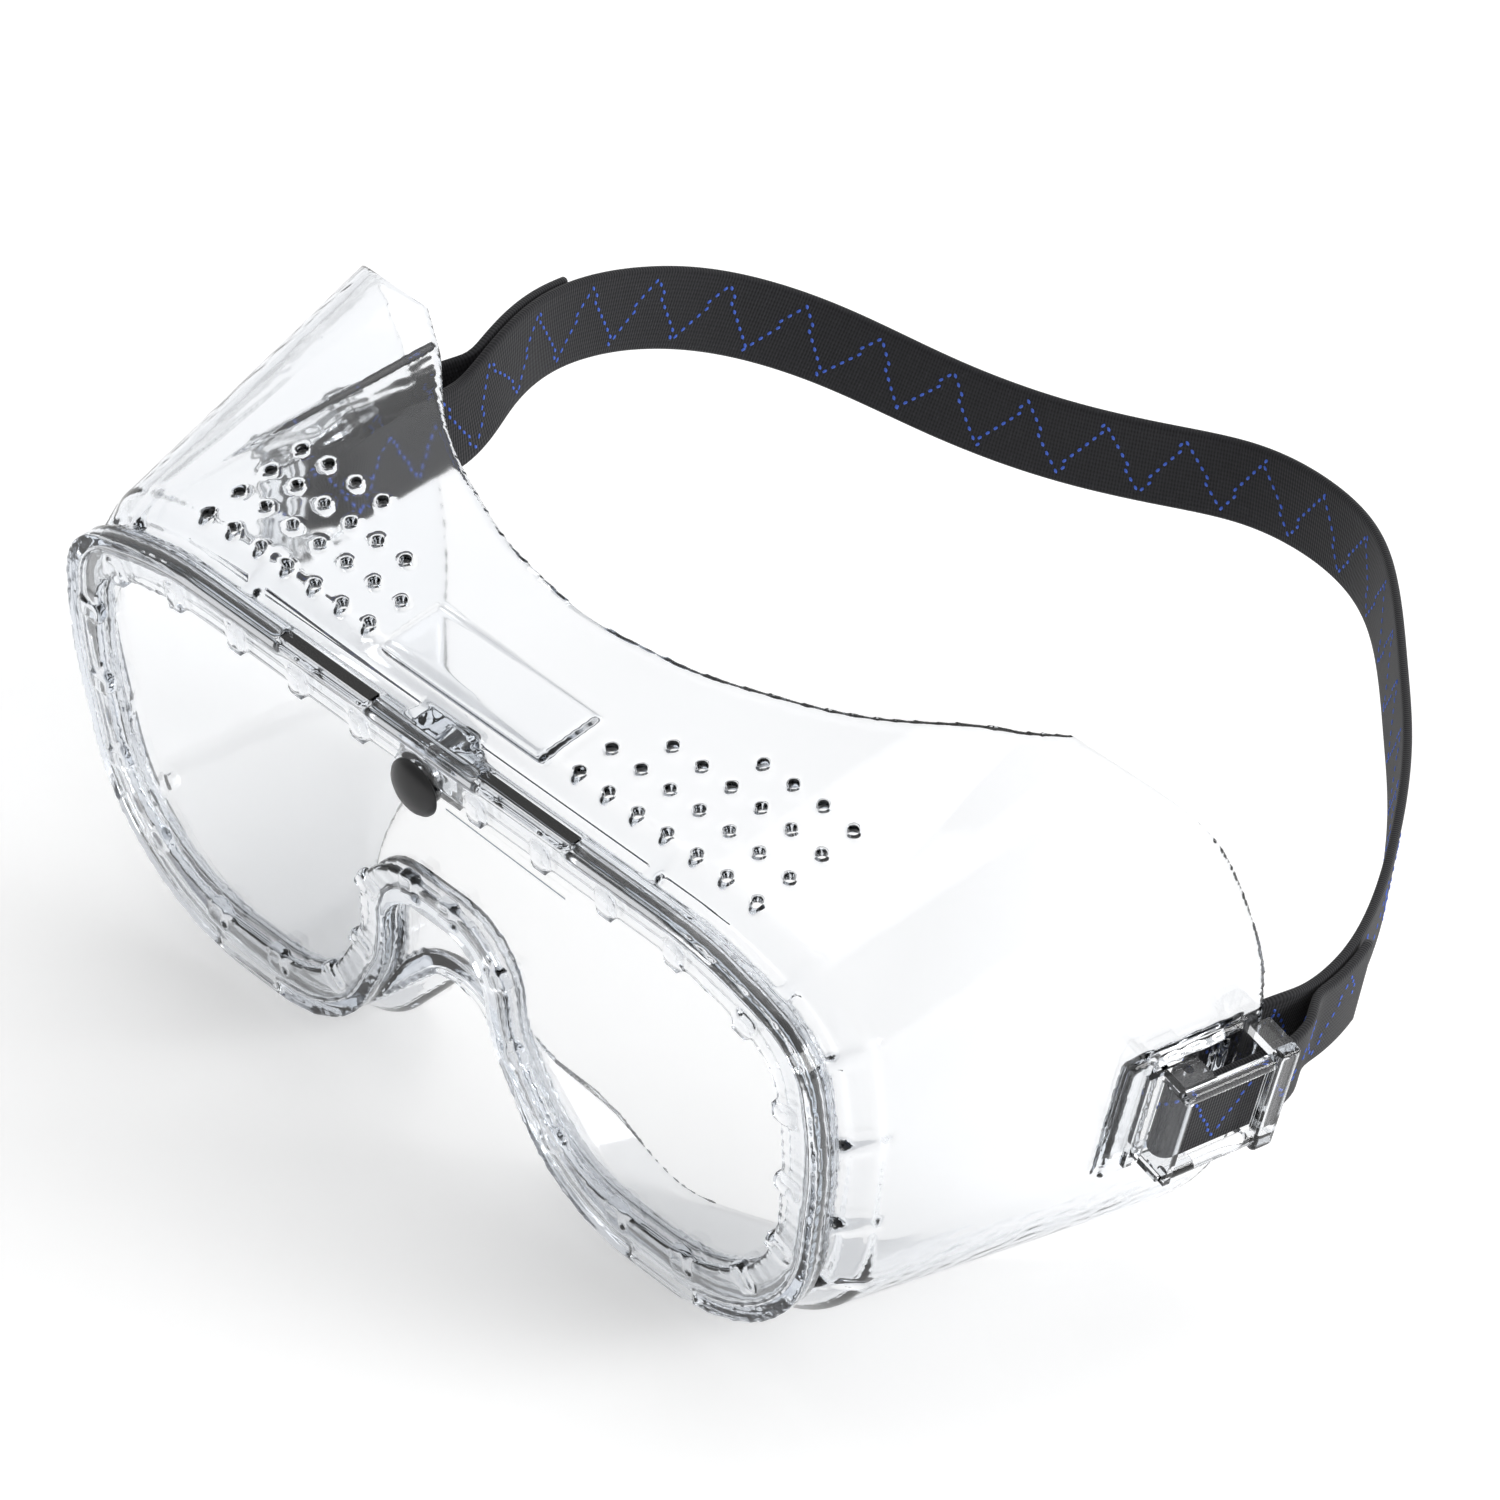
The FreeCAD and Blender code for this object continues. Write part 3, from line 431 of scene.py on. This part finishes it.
LEFT_TAIL = 0.027
RIGHT_TAIL = 0.036
left_tail = tail_line(loop, loop_ways, LEFT_TAIL)
right_tail = tail_line(loop[::-1], loop_ways[::-1], RIGHT_TAIL)
route = left_tail[::-1]
route += [(p, np.array(ways["left"][2])) for p in eased_line(fold_line("left")[::-1], 0.0005)]
route += list(zip(loop, loop_ways))
route += [(p, np.array(ways["right"][2])) for p in eased_line(fold_line("right"), 0.0005)]
route += right_tail
line = np.array([p for p, _ in route])
widths = np.array([w for _, w in route])
CLOSEST = 0.0003
keep = [0]
for i in range(1, len(line)):
    if np.linalg.norm(line[i] - line[keep[-1]]) > CLOSEST:
        keep.append(i)
line, widths = line[keep], widths[keep]
for _ in range(3):
    line[1:-1] = (line[:-2] + 2 * line[1:-1] + line[2:]) / 4
    widths[1:-1] = (widths[:-2] + 2 * widths[1:-1] + widths[2:]) / 4
travel = np.concatenate([[0], np.cumsum(np.linalg.norm(np.diff(line, axis=0), axis=1))])
# section across the band: flat faces with rounded selvedges
EDGE_ROUND = 0.0006
section = []
for side in (1, -1):
    for k in range(-8, 9):
        section.append((side * k / 8 * (BAND_WIDTH / 2 - EDGE_ROUND), side * BAND_THICK / 2))
    for k in range(1, 6):
        angle = math.pi / 2 - math.pi * k / 6
        section.append((side * (BAND_WIDTH / 2 - EDGE_ROUND + EDGE_ROUND * math.cos(angle)),
                        side * BAND_THICK / 2 * math.sin(angle)))
band_mesh = bpy.data.meshes.new("headband_webbing")
work = bmesh.new()
sheet_uv = work.loops.layers.uv.new("weave")
rings = []
frames_at = []
for i in range(len(line)):
    along = unit(line[min(i + 1, len(line) - 1)] - line[max(i - 1, 0)])
    thick = unit(np.cross(along, widths[i]))
    wide = np.cross(thick, along)
    frames_at.append((line[i], along, thick, wide))
    rings.append([work.verts.new(line[i] + wide * w + thick * t) for w, t in section])
for i in range(len(rings) - 1):
    for k in range(len(section)):
        n = (k + 1) % len(section)
        face = work.faces.new((rings[i][k], rings[i + 1][k], rings[i + 1][n], rings[i][n]))
        spots = ((i, k), (i + 1, k), (i + 1, n), (i, n))
        for corner, (ring, across) in zip(face.loops, spots):
            corner[sheet_uv].uv = (travel[ring] * 10, section[across][0] * 10 + 0.5)
for ring in (rings[0], rings[-1]):
    work.faces.new(ring)
bmesh.ops.recalc_face_normals(work, faces=work.faces)
work.to_mesh(band_mesh)
work.free()
headband = bpy.data.objects.new("headband_webbing", band_mesh)
bpy.context.scene.collection.objects.link(headband)
smooth_faces(headband)
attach(headband, "goggles")
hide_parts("headband")
elastic, elastic_shader, elastic_tree = shared_finish("black_elastic", (0.012, 0.012, 0.014), 0.8)
elastic_shader.inputs["Specular IOR Level"].default_value = 0.25
elastic_shader.inputs["Sheen Weight"].default_value = 0.12
elastic_shader.inputs["Sheen Roughness"].default_value = 0.5
weave_place = elastic_tree.nodes.new("ShaderNodeUVMap")
weave_place.uv_map = "weave"
cords = elastic_tree.nodes.new("ShaderNodeTexWave")
cords.bands_direction = "Y"
cords.inputs["Scale"].default_value = 42.0
picks = elastic_tree.nodes.new("ShaderNodeTexWave")
picks.bands_direction = "X"
picks.inputs["Scale"].default_value = 60.0
both = elastic_tree.nodes.new("ShaderNodeMath")
both.operation = "MULTIPLY_ADD"
both.inputs[1].default_value = 0.5
for pattern in (cords, picks):
    elastic_tree.links.new(weave_place.outputs["UV"], pattern.inputs["Vector"])
elastic_tree.links.new(cords.outputs["Fac"], both.inputs[0])
elastic_tree.links.new(picks.outputs["Fac"], both.inputs[2])
ridges = elastic_tree.nodes.new("ShaderNodeBump")
ridges.inputs["Strength"].default_value = 0.5
ridges.inputs["Distance"].default_value = 0.00012
elastic_tree.links.new(both.outputs["Value"], ridges.inputs["Height"])
elastic_tree.links.new(ridges.outputs["Normal"], elastic_shader.inputs["Normal"])
threads = elastic_tree.nodes.new("ShaderNodeValToRGB")
threads.color_ramp.elements[0].color = (0.006, 0.006, 0.007, 1)
threads.color_ramp.elements[1].color = (0.022, 0.022, 0.025, 1)
elastic_tree.links.new(both.outputs["Value"], threads.inputs["Fac"])
elastic_tree.links.new(threads.outputs["Color"], elastic_shader.inputs["Base Color"])
headband.data.materials.append(elastic)

# ---------------------------------------------------------------- headband stitching
# Royal-blue marker yarn picked through both faces of the elastic in one wide zigzag, a short float at a time.
ZIGZAG = 0.0135
REACH = 0.0056
PITCH = 0.0016
FLOAT = (0.00052, 0.00030, 0.00014)
float_mesh = bpy.data.meshes.new("headband_stitching")
work = bmesh.new()
slope = 4 * REACH / ZIGZAG
step = PITCH / math.hypot(1, slope)
count = int(travel[-1] / step)
for face_side in (1, -1):
    for k in range(1, count):
        place = k * step + (ZIGZAG / 4 if face_side < 0 else 0)
        if place > travel[-1] - 0.001:
            continue
        phase = (place / ZIGZAG) % 1
        across = REACH * (4 * phase - 1 if phase < 0.5 else 3 - 4 * phase)
        rise = slope if phase < 0.5 else -slope
        i = min(int(np.searchsorted(travel, place)), len(frames_at) - 1)
        spot, along, thick, wide = frames_at[i]
        run = unit(along + wide * rise)
        cross = np.cross(thick, run)
        middle = spot + wide * across + thick * face_side * (BAND_THICK / 2)
        turned = Matrix((run * FLOAT[0], cross * FLOAT[1], thick * FLOAT[2])).transposed().to_4x4()
        bmesh.ops.create_icosphere(work, subdivisions=1, radius=1.0,
                                   matrix=Matrix.Translation(Vector(middle)) @ turned)
work.to_mesh(float_mesh)
work.free()
stitching = bpy.data.objects.new("headband_stitching", float_mesh)
bpy.context.scene.collection.objects.link(stitching)
smooth_faces(stitching)
yarn, yarn_shader, yarn_tree = shared_finish("blue_yarn", (0.05, 0.13, 0.62), 0.6)
add_unevenness(yarn_shader, yarn_tree, 2500.0, 0.45, 0.75, 0.00003)
stitching.data.materials.append(yarn)
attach(stitching, "goggles")
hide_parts("headband")
